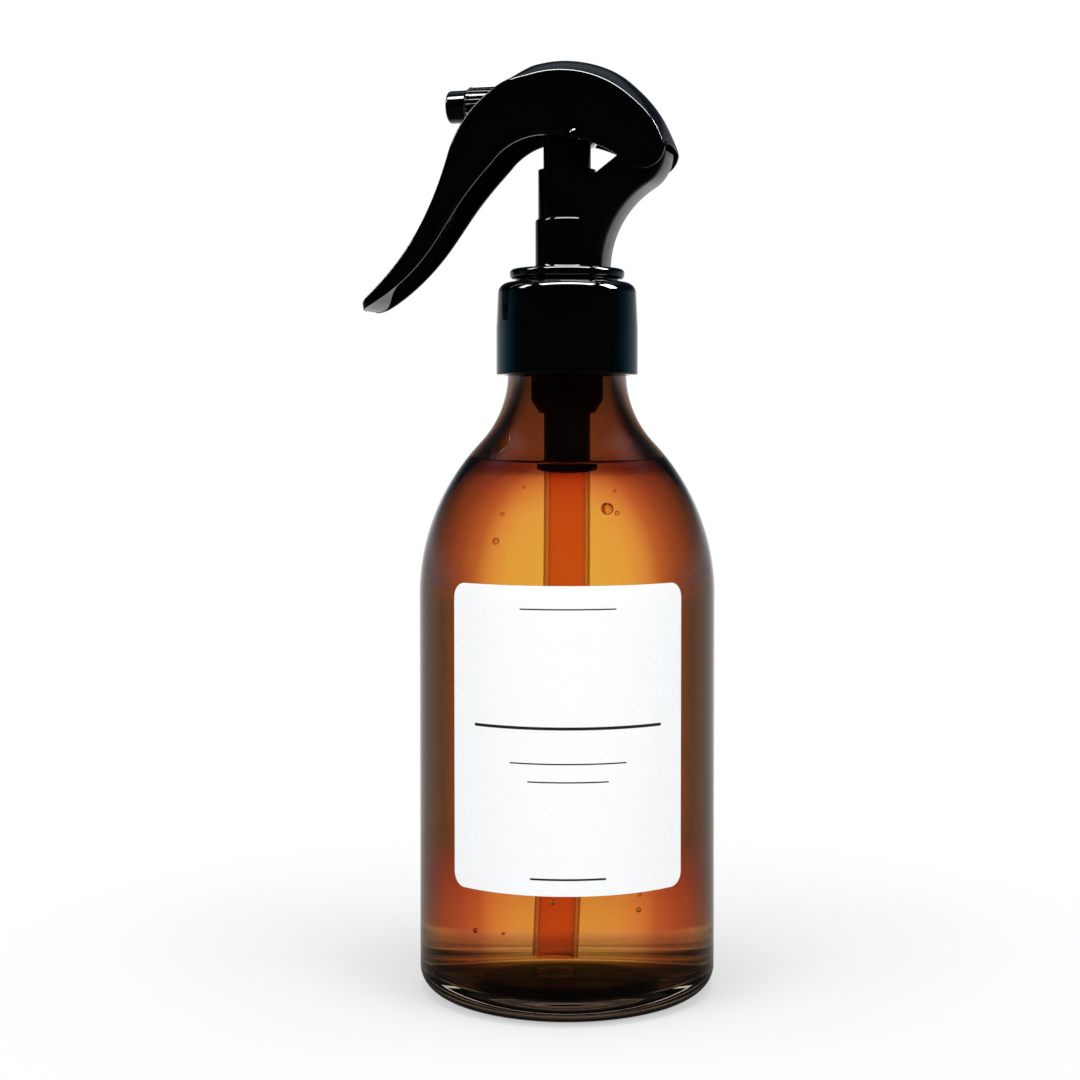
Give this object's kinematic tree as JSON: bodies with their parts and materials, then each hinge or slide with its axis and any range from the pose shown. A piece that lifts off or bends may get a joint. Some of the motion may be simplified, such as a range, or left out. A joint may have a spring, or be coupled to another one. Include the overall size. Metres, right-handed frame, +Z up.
{
  "type": "trigger spray bottle",
  "caption": "Round amber glass dispenser bottle with a label, a screw closure, a dip tube and a small gooseneck trigger sprayer.",
  "frame": {"origin": "centre of the bottle's standing ring, on the surface it stands on", "axes": "+Z up along the bottle's axis; the nozzle points to -X and the trigger hangs on that side; the label faces -Y, turned about 15 degrees towards +X"},
  "size_m": [0.0755, 0.0626, 0.1956],
  "materials": {
    "amber_glass": "gloss",
    "label_paper": "matte",
    "black_plastic": "gloss",
    "natural_plastic": "satin",
    "clear_tube": "satin",
    "white_seal": "matte",
    "black_seal": "matte",
    "steel_wire": "bright",
    "steel_ball": "polished"
  },
  "bodies": {
    "bottle": {"bottle": "amber_glass", "front_label": "label_paper"},
    "sprayer": {"pump_body": "black_plastic", "stem_guide": "black_plastic", "valve_housing": "natural_plastic", "ball_stop": "natural_plastic", "dip_tube": "clear_tube", "neck_gasket": "white_seal", "return_spring": "steel_wire"},
    "closure": {"closure_cap": "black_plastic"},
    "check_ball": {"inlet_ball": "steel_ball"},
    "piston": {"piston_stem": "black_plastic", "piston_seal": "white_seal"},
    "trigger": {"trigger_lever": "black_plastic", "discharge_elbow": "black_plastic", "outlet_valve": "white_seal", "swirl_core": "natural_plastic", "nozzle_seal": "black_seal"},
    "nozzle": {"nozzle_cap": "black_plastic", "orifice_disc": "black_plastic"}
  },
  "joints": [
    {"name": "sprayer_lift", "type": "slide", "parent": "bottle", "child": "sprayer", "axis": [0, 0, 1], "range_m": [0, 0.14]},
    {"name": "closure_turn", "type": "hinge", "parent": "sprayer", "child": "closure", "pos_m": [0, 0, 0.139], "axis": [0, 0, 1], "continuous": true},
    {"name": "trigger_squeeze", "type": "hinge", "parent": "sprayer", "child": "trigger", "pos_m": [0.0178, 0, 0.17592], "axis": [0, -1, 0], "range_deg": [0, 20], "stiffness_Nm_per_rad": 0.8, "springref_deg": -14.32},
    {"name": "stem_slide", "type": "slide", "parent": "sprayer", "child": "piston", "axis": [0, 0, -1], "range_m": [0, 0.0052], "deforming": ["return_spring"]},
    {"name": "nozzle_turn", "type": "hinge", "parent": "trigger", "child": "nozzle", "pos_m": [-0.02, 0, 0.18652], "axis": [1, 0, 0], "range_deg": [0, 90]},
    {"name": "ball_lift", "type": "slide", "parent": "sprayer", "child": "check_ball", "axis": [0, 0, 1], "range_m": [0, 0.0008]}
  ],
  "couplings": [
    {"joint": "stem_slide", "follows": "trigger_squeeze", "m_per_rad": 0.014708}
  ]
}
